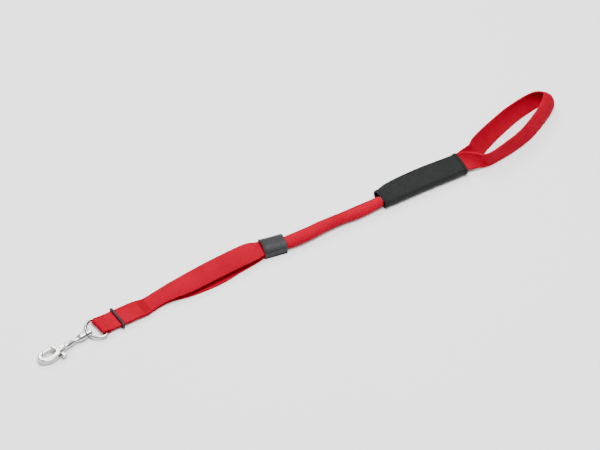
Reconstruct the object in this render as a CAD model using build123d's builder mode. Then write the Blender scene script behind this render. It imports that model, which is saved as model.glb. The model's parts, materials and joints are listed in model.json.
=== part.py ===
"""Two-handle dog lead: trigger snap, doubled strap, control handle, bungee, grip and hand loop.

Millimetres, +Z up, lying on the plane z = 0. The origin is the middle of the flat underside of the
moulded joint between the strap and the bungee. +X runs from the snap to the hand loop.
"""

import os
from math import cos, radians, sin, tan

from build123d import *

os.makedirs("parts", exist_ok=True)

# ---------------------------------------------------------------- driving dimensions
web_width = 25.4           # webbing of the strap and of the hand loop
web_thick = 1.8
rub_gap = 0.3              # free gap between pieces that move past each other
run_gap = 0.05             # radial clearance of pins and rivets in their bores
seat_gap = 0.1             # gap between pieces of one body that only lie close

strap_reach = 240.0        # joint middle to the eye's bar
strap_turn = 1.6           # degrees the strap lies off the X axis
head_turn = 6.5            # degrees the snap and eye lie off the X axis

eye_wire = 3.6             # thickness of the D-shaped eye
eye_corner = 2.4           # bend of the eye's wire at each end of its bar
eye_room = 0.8             # room beside the webbing inside the eye
hub_radius = 4.0
hub_length = 5.0
rivet_radius = 1.7
rivet_head_radius = 3.3
rivet_head_height = 1.8
rivet_grip = 9.0           # rivet length held in the snap's boss
washer_thick = 0.6
washer_rim = 0.4           # washer stands out this much round the rivet's head

snap_reach = 89.0          # eye's bar to the snap's nose
snap_thick = 6.4
ring_half_width = 9.2
ring_length = 38.0
hole_length = 18.5
hole_half_width = 4.5
hole_side = 0.4            # middle of the hole beside the snap's axis
nose_thick = 5.4           # metal in front of the hole
neck_radius = 3.4
boss_radius = 4.4
boss_length = 9.0
boss_edge = 1.0
pin_radius = 1.2
pin_station = 28.5         # nose to the gate's pin
gate_width = 3.2
gate_thick = 4.2
lever_thick = 2.0
slot_half = 1.7
slot_length = 13.0
slot_shift = 0.3           # slot's middle behind the pin
gate_reach = 19.6          # pin to the gate's tip
tab_reach = 12.8           # pin to the end of the thumb tab
spring_wire = 0.45
spring_room = 0.3          # room between the spring's coil and the pin
pivot_wall = 1.9           # metal of the lever round its pin
tab_length = 6.4
tab_width = 3.8

keeper_wire = 2.4
keeper_station = 24.0      # eye's bar to the keeper
keeper_room = 1.0          # room beside the webbing inside the keeper
keeper_corner = 1.92

lap_length = 72.0          # eye's bar to where the two layers part
lap_lead = 12.0            # eye's bar to where the layers lie together
handle_height = 16.5       # top of the control handle
tack_rows = 4
tack_pitch = 2.2
tack_width = 1.0
tack_margin = 2.0          # stitching to each edge of the webbing
tack_back = 13.0           # middle of the rows to the end of the lap

cover_length = 29.0
cover_room = 0.4           # room beside the webbing inside the joint
cover_height = 14.6
cover_side_height = 9.8
bungee_side = -2.0         # bungee's place across the joint
cover_wall = 1.5
cover_turn = -10.0         # degrees the joint lies off the X axis
base_thick = 1.6
base_corner = 1.5
post_radius = 2.0
post_rise = 1.2            # post above the strap ends
post_station = 8.5         # joint's mouth to the posts that hold the strap ends
tail_length = 12.5         # strap ends inside the joint
gather = 4.4               # how much narrower the webbing is where it enters the joint
gather_length = 18.0

bungee_radius = 6.8
bungee_height = 7.2        # middle of the bungee above the ground
end_gap = 0.9              # the bungee's slanted end stands off the grip
core_radius = 4.0
core_gap = 0.3
ferrule_wall = 0.9
ferrule_length = 13.0
ferrule_end = 1.0          # closed end of a ferrule
tang_width = 8.0
tang_length = 14.0
tang_overlap = 2.0

sleeve_start = 147.0       # joint middle to the sleeve
sleeve_length = 114.0
sleeve_room = 0.8          # room beside the webbing inside the sleeve
sleeve_height = 13.6
sleeve_corner = 5.2
sleeve_wall = 1.3
sleeve_side = -1.7         # sideways place of the grip
binding_length = 4.0
binding_thick = 0.5
web_gap = 1.4              # room between the loop's two tails, where the ferrule's tang lies
pad_lead = 30.0            # start of the loop's tails to the padding
pad_margin = 3.5           # padding to each edge of the webbing

loop_length = 151.0        # sleeve's end to the far end of the hand loop
leg_turn = 39.0            # length in which the loop's legs turn from flat to upright
loop_height = 24.4
loop_lean = (-12.0, 4.0)   # how far the loop's upper edge stands off its lower edge
leg_lead = 6.0             # flat part of each leg inside the sleeve's end

thread = 0.4               # height of the stitching on the webbing
row_width = 0.7
patch_length = 22.0        # stitched patch that joins the loop's tails
patch_margin = 2.5
patch_place = 14.0         # start of the tails to the middle of the patch
cross_length = 24.0
cross_turn = 42.0          # degrees the crossed rows lie off the patch's length

overshoot = 1.0            # cuts run past a face by this much
clear_span = 100.0         # a cut this wide clears the whole piece

# ---------------------------------------------------------------- places worked out from them
eye_inner_width = web_width + 2 * eye_room
eye_half = (eye_inner_width + eye_wire) / 2
eye_reach = eye_corner + eye_half  # the bow is a half circle
fold_slack = web_width / 2 * tan(radians(head_turn - strap_turn))
fold_radius = eye_wire / 2 + rub_gap + web_thick / 2
lap_low = keeper_wire + rub_gap
layer_gap = 0.2
lap_middle = lap_low + web_thick + layer_gap / 2
bar_height = lap_middle
tail_width = web_width - gather
cover_width = tail_width + 2 * (cover_wall + cover_room)
sleeve_width = web_width + 2 * (sleeve_wall + sleeve_room)

cover_plane = Plane(origin=(0, 0, 0), z_dir=(0, 0, 1)).rotated((0, 0, cover_turn))
mouth = cover_plane.from_local_coords(Vector(-cover_length / 2, 0, 0))
strap_way = Vector(cos(radians(strap_turn)), sin(radians(strap_turn)), 0)
strap_across = Vector(-sin(radians(strap_turn)), cos(radians(strap_turn)), 0)
strap_plane = Plane(origin=mouth, x_dir=strap_way, z_dir=-strap_across)
bar_along = -(strap_reach - cover_length / 2)
bar = mouth + strap_way * bar_along + Vector(0, 0, bar_height)

head_way = Vector(cos(radians(head_turn)), sin(radians(head_turn)), 0)
head = Plane(origin=bar, x_dir=head_way, z_dir=(0, 0, 1))
nose = -snap_reach
pin_x = nose + pin_station
pin_y = 0.5


def facing_head(distance):
    """Plane square to the snap's axis, this far from the eye's bar."""
    return Plane(
        origin=head.from_local_coords(Vector(distance, 0, 0)), x_dir=head.y_dir, z_dir=head.x_dir
    )


def finish(part, name):
    """Label a finished piece and write its STEP file."""
    part.label = name
    export_step(part, f"parts/{name}.step")


# ---------------------------------------------------------------- swivel eye
hub_front = -eye_reach - hub_length / 2
hub_back = -eye_reach + hub_length / 2

with BuildPart() as swivel_eye:
    with BuildLine(head) as eye_path:
        bar_half = eye_half - eye_corner
        Line((0, 0), (0, bar_half))
        RadiusArc((0, bar_half), (-eye_corner, eye_half), -eye_corner)
        ThreePointArc((-eye_corner, eye_half), (-eye_reach, 0), (-eye_corner, -eye_half))
        RadiusArc((-eye_corner, -eye_half), (0, -bar_half), -eye_corner)
        Line((0, -bar_half), (0, 0))
    with BuildSketch(Plane(origin=bar, z_dir=head.y_dir)):
        Circle(eye_wire / 2)
    sweep(path=eye_path.wires()[0])
    with BuildSketch(facing_head(hub_front)):
        Circle(hub_radius)
    extrude(amount=hub_length)
    with BuildSketch(facing_head(hub_front)):
        Circle(rivet_radius + run_gap)
    extrude(amount=hub_length, mode=Mode.SUBTRACT)
finish(swivel_eye.part, "swivel_eye")

# ---------------------------------------------------------------- swivel rivet and washer
boss_end = hub_front - rub_gap
washer_back = hub_back + seat_gap + washer_thick
rivet_tip = boss_end - rivet_grip

with BuildPart() as swivel_rivet:
    with BuildSketch(facing_head(rivet_tip)):
        Circle(rivet_radius)
    extrude(amount=washer_back - rivet_tip)
    with BuildSketch(facing_head(washer_back)):
        Circle(rivet_head_radius)
    extrude(amount=rivet_head_height)
    crown = swivel_rivet.faces().sort_by(Axis(bar, head_way))[-1]
    fillet(crown.edges(), rivet_head_height * 0.7)
finish(swivel_rivet.part, "swivel_rivet")

with BuildPart() as swivel_washer:
    with BuildSketch(facing_head(washer_back - washer_thick)):
        Circle(rivet_head_radius + washer_rim)
        Circle(rivet_radius + run_gap, mode=Mode.SUBTRACT)
    extrude(amount=washer_thick)
finish(swivel_washer.part, "swivel_washer")

# ---------------------------------------------------------------- snap body
neck_start = nose + ring_length
boss_start = boss_end - boss_length
hole_middle = nose + nose_thick + hole_length / 2
gate_seat = 2.6            # the gap for the gate starts this far from the snap's axis
gate_root = pin_x - 6.0    # and ends here, where the lever enters its slot

with BuildPart() as snap_body:
    with BuildSketch(head):
        with BuildLine():
            flank = Spline(
                (nose, 0),
                (nose + 3.0, ring_half_width * 0.66),
                (nose + 11.0, ring_half_width * 0.99),
                (nose + 18.0, ring_half_width),
                (nose + 28.0, ring_half_width * 0.74),
                (neck_start, neck_radius * 0.95),
                tangents=((0, 1), (1, -0.12)),
            )
            Line(flank @ 1, (neck_start, 0))
            mirror(about=Plane.XZ)
        make_face()
        with Locations((hole_middle, hole_side)):
            Ellipse(hole_length / 2, hole_half_width, mode=Mode.SUBTRACT)
    extrude(amount=snap_thick / 2, both=True)
    with BuildSketch(Plane(head.origin, x_dir=head.x_dir, z_dir=-head.y_dir)):
        with BuildLine():
            neck_line = Spline(
                (neck_start - 3, neck_radius * 0.9),
                (neck_start + 6, neck_radius * 1.02),
                (boss_start - 3, neck_radius * 0.93),
                (boss_start, boss_radius),
            )
            Polyline(
                (boss_start, boss_radius),
                (boss_end - boss_edge, boss_radius),
                (boss_end, boss_radius - boss_edge),
                (boss_end, 0),
                (neck_start - 3, 0),
                neck_line @ 0,
            )
        make_face()
    revolve(axis=Axis(bar, head_way), revolution_arc=360)
    with BuildSketch(head):
        with Locations((pin_x, pin_y)):
            Circle(gate_reach + rub_gap)
        with Locations((pin_x, gate_seat - clear_span / 2), (gate_root + clear_span / 2, 0)):
            Rectangle(clear_span, clear_span, mode=Mode.SUBTRACT)
    extrude(amount=snap_thick, both=True, mode=Mode.SUBTRACT)
    with BuildSketch(head):
        with Locations((pin_x + slot_shift, 0)):
            Rectangle(slot_length, clear_span)
    extrude(amount=slot_half, both=True, mode=Mode.SUBTRACT)
    with BuildSketch(head):
        with Locations((pin_x, pin_y)):
            Circle(pin_radius)
    extrude(amount=snap_thick, both=True, mode=Mode.SUBTRACT)
    with BuildSketch(facing_head(rivet_tip)):
        Circle(rivet_radius)
    extrude(amount=rivet_grip + overshoot, mode=Mode.SUBTRACT)
finish(snap_body.part, "snap_body")

# ---------------------------------------------------------------- gate with thumb tab, pin, spring
lever_outline = [
    (pin_x + 1.5, pin_y + 2.6),
    (pin_x - 7.5, ring_half_width - 1.0),
    (pin_x - 8.5, ring_half_width - 1.0 - gate_width),
    (pin_x - 1.5, pin_y - 1.5),
]
tab_outline = [
    (pin_x - 2.4, pin_y),
    (pin_x + 2.2, pin_y),
    (pin_x + 2.8, pin_y - tab_reach + 1),
    (pin_x - 1.2, pin_y - tab_reach),
]
gate_outline = [
    (gate_root - 0.4, ring_half_width - 0.6),
    (pin_x - gate_reach - 1, ring_half_width - 1.4),
    (pin_x - gate_reach - 1, ring_half_width - 1.2 - gate_width),
    (gate_root - 0.4, ring_half_width - 1.0 - gate_width),
]

with BuildPart() as trigger_gate:
    with BuildSketch(head):
        with Locations((pin_x, pin_y)):
            Circle(pin_radius + pivot_wall)
        for outline in (lever_outline, tab_outline):
            with BuildLine():
                Polyline(*outline, close=True)
            make_face()
    extrude(amount=lever_thick / 2, both=True)
    with BuildSketch(head):
        with BuildLine():
            Polyline(*gate_outline, close=True)
        make_face()
        with Locations((pin_x, pin_y)):
            Circle(gate_reach, mode=Mode.INTERSECT)
    extrude(amount=gate_thick / 2, both=True)
    with BuildSketch(head):
        with Locations((pin_x + 0.8, pin_y - tab_reach + 1.2)):
            Ellipse(tab_length / 2, tab_width / 2)
    extrude(amount=gate_thick / 2, both=True)
    with BuildSketch(head):
        with Locations((pin_x, pin_y)):
            Circle(pin_radius + run_gap)
    extrude(amount=gate_thick, both=True, mode=Mode.SUBTRACT)
finish(trigger_gate.part, "trigger_gate")

with BuildPart() as gate_pin:
    with BuildSketch(head):
        with Locations((pin_x, pin_y)):
            Circle(pin_radius)
    extrude(amount=snap_thick / 2, both=True)
finish(gate_pin.part, "gate_pin")

with BuildPart() as gate_spring:
    with BuildSketch(head.offset(lever_thick / 2 + seat_gap)):
        with Locations((pin_x, pin_y)):
            Circle(pin_radius + spring_room + spring_wire)
            Circle(pin_radius + spring_room, mode=Mode.SUBTRACT)
    extrude(amount=spring_wire)
finish(gate_spring.part, "gate_spring")

# ---------------------------------------------------------------- webbing strap and its stitching
# Heights of the middle of each layer along the strap, measured from the joint's mouth (x <= 0).
fold_x = bar_along - fold_slack - layer_gap
low_layer = lap_low + web_thick / 2
high_layer = low_layer + web_thick + layer_gap
lap_end = bar_along + lap_length
lap_start = bar_along + lap_lead
mouth_low = base_thick + seat_gap + web_thick / 2
mouth_high = 7.4
handle_top = handle_height - web_thick / 2
strap_line = [
    (1.0, mouth_low),
    (-5.0, mouth_low),
    (-14.0, web_thick / 2),
    (lap_end + 24.0, web_thick / 2),
    (lap_end, low_layer),
    (lap_start, low_layer),
    (lap_start - 7.0, bar_height - fold_radius),
    (fold_x - fold_radius, bar_height - fold_radius),
    (fold_x - fold_radius, bar_height + fold_radius),
    (lap_start - 7.0, bar_height + fold_radius),
    (lap_start, high_layer),
    (lap_end, high_layer),
    (lap_end + 34.0, handle_top * 0.72),
    (-70.0, handle_top),
    (-26.0, handle_top),
    (-5.0, mouth_high),
    (1.0, mouth_high),
]
strap_bends = [8, 8, 60, 60, 12, 8, fold_radius - 0.05, fold_radius - 0.05, 8, 12, 60, 60, 80, 40, 12]

mouth_plane = Plane(origin=mouth, x_dir=cover_plane.x_dir, z_dir=-cover_plane.y_dir)
post_places = [(-cover_length / 2 + post_station, side * tail_width * 0.28) for side in (-1, 1)]

with BuildPart() as lead_strap:
    with BuildSketch(strap_plane) as side_view:
        with BuildLine():
            FilletPolyline(*strap_line, radius=strap_bends)
        trace(line_width=web_thick)
    extrude(amount=web_width / 2, both=True)
    with BuildSketch(Plane(origin=mouth, x_dir=strap_way, z_dir=(0, 0, 1))):
        with BuildLine():
            Polyline(
                (bar_along - 20, 0),
                (bar_along - 20, web_width / 2),
                (-gather_length, web_width / 2),
                (-2, tail_width / 2),
                (20, tail_width / 2),
                (20, 0),
            )
            mirror(about=Plane.XZ)
        make_face()
    extrude(amount=handle_height + 5, mode=Mode.INTERSECT)
    with BuildSketch(mouth_plane):
        with BuildLine():
            FilletPolyline((-1.5, mouth_low), (3.0, mouth_low + 0.05), (tail_length, mouth_low), radius=9)
        trace(line_width=web_thick)
        with BuildLine():
            FilletPolyline(
                (-1.5, mouth_high),
                (1.5, mouth_high),
                (7.0, mouth_low + web_thick),
                (tail_length, mouth_low + web_thick),
                radius=2.5,
            )
        trace(line_width=web_thick)
    extrude(amount=tail_width / 2, both=True)
    with BuildSketch(cover_plane.offset(base_thick)):
        with Locations(*post_places):
            Circle(post_radius + seat_gap)
    extrude(amount=cover_height / 2, mode=Mode.SUBTRACT)
finish(lead_strap.part, "lead_strap")

with BuildPart() as handle_stitches:
    tack_top = high_layer + web_thick / 2
    tack_plane = Plane(
        origin=mouth + strap_way * (lap_end - tack_back) + Vector(0, 0, tack_top),
        x_dir=strap_way,
        z_dir=(0, 0, 1),
    )
    with BuildSketch(tack_plane):
        with GridLocations(tack_pitch, 0, tack_rows, 1):
            Rectangle(tack_width, web_width - 2 * tack_margin)
    extrude(amount=thread)
finish(handle_stitches.part, "handle_stitches")

# ---------------------------------------------------------------- keeper ring
with BuildPart() as keeper_ring:
    keeper_plane = Plane(
        origin=mouth + strap_way * (bar_along + keeper_station) + Vector(0, 0, lap_middle),
        x_dir=strap_across,
        z_dir=strap_way,
    )
    keeper_wide = web_width + 2 * keeper_room + keeper_wire
    keeper_high = 2 * (lap_middle - keeper_wire / 2)
    with BuildSketch(keeper_plane, mode=Mode.PRIVATE) as keeper_outline:
        RectangleRounded(keeper_wide, keeper_high, keeper_corner)
    keeper_path = keeper_outline.sketch.faces()[0].outer_wire()
    with BuildSketch(Plane(origin=keeper_path @ 0, z_dir=keeper_path % 0)):
        Circle(keeper_wire / 2)
    sweep(path=keeper_path)
finish(keeper_ring.part, "keeper_ring")

# ---------------------------------------------------------------- moulded joint, two halves
section_plane = Plane(
    origin=cover_plane.from_local_coords(Vector(-cover_length / 2, 0, 0)),
    x_dir=cover_plane.y_dir,
    z_dir=cover_plane.x_dir,
)


def arch(wall):
    """Outline of the joint's upper half, inset by a wall."""
    half = cover_width / 2 - wall
    foot = base_thick if wall == 0 else base_thick - overshoot
    Line((-half, foot), (half, foot))
    Line((half, foot), (half, cover_side_height - wall * 0.8))
    ThreePointArc(
        (half, cover_side_height - wall * 0.8),
        (0, cover_height - wall),
        (-half, cover_side_height - wall * 0.8),
    )
    Line((-half, cover_side_height - wall * 0.8), (-half, foot))


with BuildPart() as joint_cover_top:
    with BuildSketch(section_plane):
        with BuildLine():
            arch(0)
        make_face()
    extrude(amount=cover_length)
    with BuildSketch(section_plane.offset(-overshoot)):
        with BuildLine():
            arch(cover_wall)
        make_face()
    extrude(amount=cover_length - cover_wall + overshoot, mode=Mode.SUBTRACT)
    with BuildSketch(section_plane):
        with Locations((bungee_side, bungee_height)):
            Circle(core_radius + core_gap)
    extrude(amount=cover_length, mode=Mode.SUBTRACT)
finish(joint_cover_top.part, "joint_cover_top")

with BuildPart() as joint_cover_base:
    with BuildSketch(cover_plane):
        Rectangle(cover_length, cover_width)
    extrude(amount=base_thick)
    fillet(joint_cover_base.edges().filter_by(Axis.Z), base_corner)
    with BuildSketch(cover_plane.offset(base_thick)):
        with Locations(*post_places):
            Circle(post_radius)
    extrude(amount=mouth_low + 1.5 * web_thick + post_rise - base_thick)
finish(joint_cover_base.part, "joint_cover_base")

# ---------------------------------------------------------------- bungee and its ferrules
joint_exit = cover_plane.from_local_coords(Vector(cover_length / 2, bungee_side, bungee_height))
grip_entry = Vector(sleeve_start, -5.9, bungee_height)
first_core = joint_exit - cover_plane.x_dir * (cover_wall + ferrule_length - ferrule_end)
last_core = grip_entry + Vector(ferrule_length - ferrule_end, 0, 0)
bungee_route = [
    joint_exit,
    Vector(36.0, -6.9, bungee_height),
    Vector(62.0, -4.6, bungee_height),
    Vector(90.0, -4.9, bungee_height),
    Vector(112.0, -7.9, bungee_height),
    Vector(130.0, -7.2, bungee_height),
    grip_entry - Vector(end_gap, 0, 0),
]


def bend_radii(route):
    """Largest arc at each corner of a route that leaves a tenth of each run straight."""
    radii = []
    for before, corner, after in zip(route, route[1:], route[2:]):
        turn = (corner - before).get_angle(after - corner)
        run = min((corner - before).length, (after - corner).length)
        radii.append(0.45 * run / tan(radians(turn / 2)))
    return radii


def swept_tube(route, outer_radius, inner_radius=0.0):
    """Sweep a round section along a route of runs and tangent arcs."""
    with BuildPart() as tube:
        with BuildLine() as path:
            FilletPolyline(*route, radius=bend_radii(route))
        with BuildSketch(Plane(origin=route[0], z_dir=route[1] - route[0])) as ring:
            Circle(outer_radius)
            if inner_radius:
                Circle(inner_radius, mode=Mode.SUBTRACT)
        sweep(path=path.wires()[0])
    length = path.wires()[0].length
    print(f"tube of {outer_radius} mm radius, {length:.1f} mm long,", end=" ")
    print(f"volume {tube.part.volume:.0f}, section times length {ring.sketch.area * length:.0f},", end=" ")
    print("bends", [round(radius) for radius in bend_radii(route)])
    return tube


bungee_sheath = swept_tube(bungee_route, bungee_radius, core_radius + core_gap)
finish(bungee_sheath.part, "bungee_sheath")

bungee_core = swept_tube([first_core] + bungee_route + [last_core], core_radius)
finish(bungee_core.part, "bungee_core")

with BuildPart() as front_ferrule:
    front_end = joint_exit - cover_plane.x_dir * (cover_wall + seat_gap)
    with BuildSketch(Plane(origin=front_end, z_dir=-cover_plane.x_dir)):
        Circle(core_radius + core_gap + ferrule_wall)
    extrude(amount=ferrule_length)
    with BuildSketch(Plane(origin=front_end, z_dir=-cover_plane.x_dir)):
        Circle(core_radius + core_gap)
    extrude(amount=ferrule_length - ferrule_end, mode=Mode.SUBTRACT)
finish(front_ferrule.part, "front_ferrule")

grip_middle = binding_thick + sleeve_height / 2
tail_start = sleeve_start + ferrule_length + 1.0
tail_end = sleeve_start + sleeve_length

with BuildPart() as rear_ferrule:
    with BuildSketch(Plane(origin=grip_entry + Vector(seat_gap, 0, 0), z_dir=(1, 0, 0))):
        Circle(core_radius + core_gap + ferrule_wall)
    extrude(amount=ferrule_length)
    with BuildSketch(Plane(origin=grip_entry + Vector(seat_gap, 0, 0), z_dir=(1, 0, 0))):
        Circle(core_radius + core_gap)
    extrude(amount=ferrule_length - ferrule_end, mode=Mode.SUBTRACT)
    tang_root = (tail_start - tang_overlap, grip_entry.Y, grip_middle)
    with BuildSketch(Plane(origin=tang_root, z_dir=(1, 0, 0))):
        Rectangle(web_gap - 2 * seat_gap, tang_width)
    extrude(amount=tang_length)
finish(rear_ferrule.part, "rear_ferrule")

# ---------------------------------------------------------------- grip sleeve, padding, bindings
grip_plane = Plane(origin=(sleeve_start, sleeve_side, grip_middle), x_dir=(0, 1, 0), z_dir=(1, 0, 0))

with BuildPart() as grip_sleeve:
    with BuildSketch(grip_plane):
        RectangleRounded(sleeve_width, sleeve_height, sleeve_corner)
    extrude(amount=sleeve_length)
    with BuildSketch(grip_plane.offset(binding_length)):
        RectangleRounded(
            sleeve_width - 2 * sleeve_wall, sleeve_height - 2 * sleeve_wall, sleeve_corner - sleeve_wall
        )
    extrude(amount=sleeve_length, mode=Mode.SUBTRACT)
    with BuildSketch(Plane(origin=grip_entry, z_dir=(1, 0, 0))):
        Circle(core_radius + core_gap + ferrule_wall + seat_gap)
    extrude(amount=binding_length + overshoot, mode=Mode.SUBTRACT)
finish(grip_sleeve.part, "grip_sleeve")

with BuildPart() as sleeve_bindings:
    for place in (0.0, sleeve_length - binding_length):
        with BuildSketch(grip_plane.offset(place)):
            RectangleRounded(
                sleeve_width + 2 * binding_thick,
                sleeve_height + 2 * binding_thick,
                sleeve_corner + binding_thick,
            )
            RectangleRounded(sleeve_width, sleeve_height, sleeve_corner, mode=Mode.SUBTRACT)
        extrude(amount=binding_length)
finish(sleeve_bindings.part, "sleeve_bindings")

low_tail = grip_middle - (web_gap + web_thick) / 2
high_tail = grip_middle + (web_gap + web_thick) / 2
leg_start = tail_end - leg_lead
pad_start = tail_start + pad_lead
pad_thick = sleeve_height / 2 - sleeve_wall - web_gap / 2 - web_thick - 2 * seat_gap
low_pad = low_tail - web_thick / 2 - seat_gap - pad_thick
high_pad = high_tail + web_thick / 2 + seat_gap

with BuildPart() as grip_padding:
    for pad_height in (low_pad, high_pad):
        with BuildSketch(Plane.XY.offset(pad_height)):
            with Locations(((pad_start + leg_start) / 2, sleeve_side)):
                Rectangle(leg_start - pad_start, web_width - 2 * pad_margin)
        extrude(amount=pad_thick)
finish(grip_padding.part, "grip_padding")

# ---------------------------------------------------------------- hand loop
loop_rise = Vector(loop_lean[0], loop_lean[1], loop_height)
edge_low = sleeve_side - web_width / 2
edge_high = sleeve_side + web_width / 2
leg_end = tail_end + leg_turn
bow_length = loop_length - leg_turn
near_foot = (leg_end, -18.4)
far_foot = (leg_end, 3.0)
# The bow is a flat oval: each point is a share of its length and a sideways place.
bow_points = [
    (0.241, 14.6),
    (0.5625, 26.6),
    (0.8705, 32.2),
    (0.9875, 27.0),
    (0.932, 19.2),
    (0.799, 8.9),
    (0.518, -6.9),
    (0.241, -15.0),
]
loop_edge = [far_foot, *[(leg_end + bow_length * share, side) for share, side in bow_points], near_foot]


def web_section(low, high):
    """Section of the webbing between the places of its two edges."""
    across = (Vector(high) - Vector(low)).normalized()
    onward = Vector(1, 0, 0) - across * across.X
    middle = (Vector(low) + Vector(high)) * 0.5
    with BuildSketch(Plane(origin=middle, x_dir=across, z_dir=onward)) as section:
        Rectangle((Vector(high) - Vector(low)).length, web_thick)
    return section.sketch


# Places of the lower and upper edge of the webbing as each leg turns from flat to upright.
near_leg = [
    ((leg_start, edge_low, high_tail), (leg_start, edge_high, high_tail)),
    ((tail_end + 2, edge_low - 0.4, high_tail), (tail_end, edge_high - 0.8, high_tail + 2.2)),
    ((tail_end + 13, edge_low - 3.2, 4.5), (tail_end + 7, edge_low + 16, 19.5)),
    ((tail_end + 25, edge_low - 5.2, 1.2), (tail_end + 15, edge_low + 5, 23.2)),
    ((leg_end, near_foot[1], 0.5), (leg_end + loop_rise.X, near_foot[1] + loop_rise.Y, loop_height)),
]
far_leg = [
    ((leg_start, edge_low, low_tail), (leg_start, edge_high, low_tail)),
    ((tail_end + 2, edge_low + 0.8, low_tail - 0.8), (tail_end, edge_high + 0.4, low_tail + 2.4)),
    ((tail_end + 14, edge_low + 3.4, 1.6), (tail_end + 8, edge_low + 22.8, 16.6)),
    ((tail_end + 27, edge_low + 10.8, 0.8), (tail_end + 16, edge_low + 20, 23.0)),
    ((leg_end, far_foot[1], 0.5), (leg_end + loop_rise.X, far_foot[1] + loop_rise.Y, loop_height)),
]

with BuildPart() as hand_loop:
    with BuildSketch(Plane.XY):
        with BuildLine():
            Spline(*loop_edge)
        trace(line_width=web_thick)
    extrude(amount=loop_rise.length, dir=loop_rise.normalized())
    for edges in (near_leg, far_leg):
        add(Solid.make_loft([web_section(*pair).wires()[0] for pair in edges], ruled=True))
    for tail_height in (low_tail, high_tail):
        with BuildSketch(Plane.XY.offset(tail_height - web_thick / 2)):
            with Locations(((tail_start + leg_start) / 2, sleeve_side)):
                Rectangle(leg_start - tail_start, web_width)
        extrude(amount=web_thick)
finish(hand_loop.part, "hand_loop")

# ---------------------------------------------------------------- stitching of the hand loop
patch_width = web_width - 2 * patch_margin

with BuildPart() as tail_stitches:
    with BuildSketch(Plane.XY.offset(high_tail + web_thick / 2)):
        with Locations((tail_start + patch_place, sleeve_side)):
            Rectangle(patch_length, patch_width)
            Rectangle(patch_length - 2 * row_width, patch_width - 2 * row_width, mode=Mode.SUBTRACT)
            for turn in (-cross_turn, cross_turn):
                with Locations(Rotation(0, 0, turn)):
                    Rectangle(cross_length, row_width)
    extrude(amount=thread)
finish(tail_stitches.part, "tail_stitches")
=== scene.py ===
"""Looks of a two-handle, shock-absorbing dog lead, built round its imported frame.

Every length is in metres and every place is in the frame's own axes: +X runs from the snap to the
hand loop, +Z is up and the lead lies on z = 0.
"""

import json
import logging
import math
from dataclasses import dataclass
from enum import Enum
from typing import Callable, Sequence

import bpy
import numpy as np
from mathutils import Matrix, Vector

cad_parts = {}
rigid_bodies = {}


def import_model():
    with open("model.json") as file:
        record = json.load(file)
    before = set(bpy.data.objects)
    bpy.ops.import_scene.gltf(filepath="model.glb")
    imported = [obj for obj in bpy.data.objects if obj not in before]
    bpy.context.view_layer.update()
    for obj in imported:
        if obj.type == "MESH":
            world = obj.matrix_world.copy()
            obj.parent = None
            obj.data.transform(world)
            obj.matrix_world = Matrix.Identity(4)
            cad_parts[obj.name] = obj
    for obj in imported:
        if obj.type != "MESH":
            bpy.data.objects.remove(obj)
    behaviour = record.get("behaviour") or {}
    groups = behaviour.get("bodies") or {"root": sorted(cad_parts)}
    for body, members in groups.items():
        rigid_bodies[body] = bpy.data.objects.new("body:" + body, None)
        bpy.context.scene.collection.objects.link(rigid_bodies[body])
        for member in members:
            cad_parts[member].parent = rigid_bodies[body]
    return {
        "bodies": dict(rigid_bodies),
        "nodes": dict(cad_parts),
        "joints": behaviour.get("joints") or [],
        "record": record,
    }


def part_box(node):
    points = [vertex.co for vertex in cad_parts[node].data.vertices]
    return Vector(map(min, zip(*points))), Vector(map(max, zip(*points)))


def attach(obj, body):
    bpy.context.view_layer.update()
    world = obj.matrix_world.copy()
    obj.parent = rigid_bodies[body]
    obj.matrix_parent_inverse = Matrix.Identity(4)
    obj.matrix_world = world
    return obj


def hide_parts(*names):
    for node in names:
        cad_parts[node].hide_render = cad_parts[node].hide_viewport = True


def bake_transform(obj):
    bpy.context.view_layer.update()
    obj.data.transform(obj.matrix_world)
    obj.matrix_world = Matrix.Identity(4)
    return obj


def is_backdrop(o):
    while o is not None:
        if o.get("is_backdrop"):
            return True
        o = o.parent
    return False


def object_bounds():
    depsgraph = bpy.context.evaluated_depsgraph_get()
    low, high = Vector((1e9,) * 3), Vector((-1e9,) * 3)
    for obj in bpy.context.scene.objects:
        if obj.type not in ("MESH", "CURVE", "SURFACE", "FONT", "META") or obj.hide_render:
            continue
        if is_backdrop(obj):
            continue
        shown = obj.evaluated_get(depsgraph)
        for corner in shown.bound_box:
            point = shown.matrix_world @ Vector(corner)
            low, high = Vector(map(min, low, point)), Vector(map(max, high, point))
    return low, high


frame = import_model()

CAD_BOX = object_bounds()
MM = 0.001
log = logging.getLogger("dog_lead")

Point = tuple[float, float, float]
Colour = tuple[float, float, float, float]
Station = tuple[float, float, float, float, float]
Edges = tuple[Point, Point]
Looks = dict["Finish", bpy.types.Material]


# ------------------------------------------------------------------ finishes


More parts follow.
